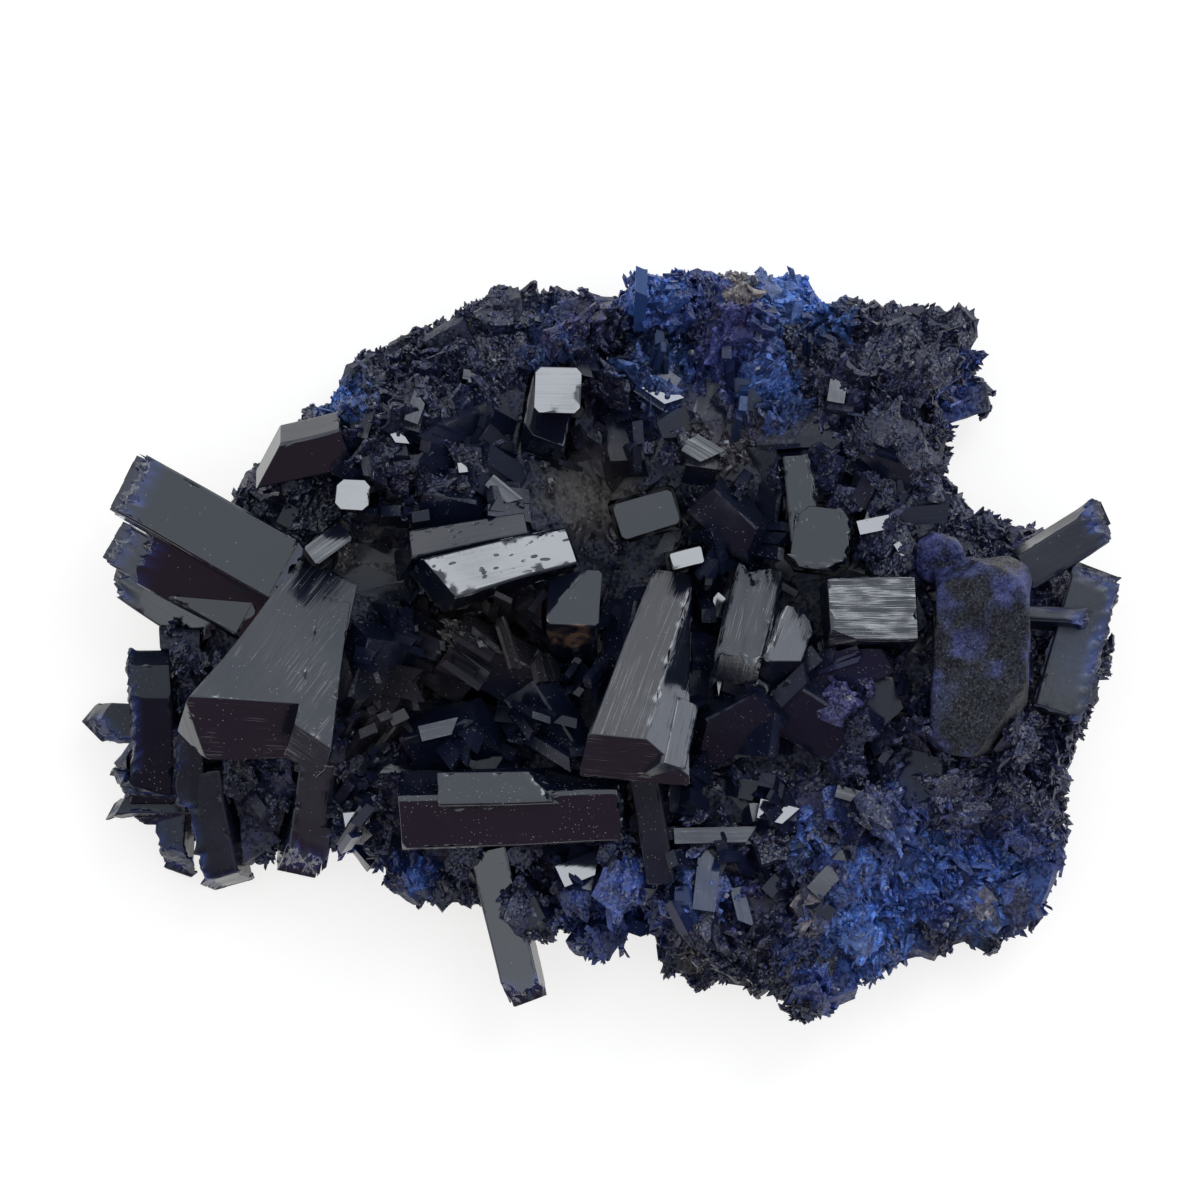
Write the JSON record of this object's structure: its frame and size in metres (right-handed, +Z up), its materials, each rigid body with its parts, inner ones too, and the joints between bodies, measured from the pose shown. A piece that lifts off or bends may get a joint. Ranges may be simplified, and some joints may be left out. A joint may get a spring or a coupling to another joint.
{
  "type": "azurite specimen",
  "caption": "Azurite mineral specimen: dark, glassy blocky crystals standing in a rough blue-black druse-covered matrix with a flat underside.",
  "frame": {"origin": "centre of the bounding box, on the flat underside", "axes": "+X to the right and +Y to the back of the specimen as it lies, +Z up, away from the surface it rests on"},
  "size_m": [0.0728, 0.0524, 0.0181],
  "materials": {
    "azurite": "polished",
    "druse": "satin"
  },
  "bodies": {
    "root": {"druse_matrix": "druse", "left_blades": "azurite", "striated_prism": "azurite", "corner_prisms": "azurite", "south_west_tip": "azurite", "square_crystals": "azurite", "west_white_crystal": "azurite", "pale_crystal": "azurite", "brown_prism": "azurite", "spotted_prism": "azurite", "bronze_prism": "azurite", "horn_crystal": "azurite", "north_facet": "azurite", "small_white_facet": "azurite", "grey_prism": "azurite", "shoulder_crystals": "azurite", "bright_prism": "azurite", "druse_blade": "azurite", "right_crystals": "azurite", "long_bar": "azurite", "leaning_blade": "azurite", "lower_blade": "azurite"}
  },
  "joints": []
}
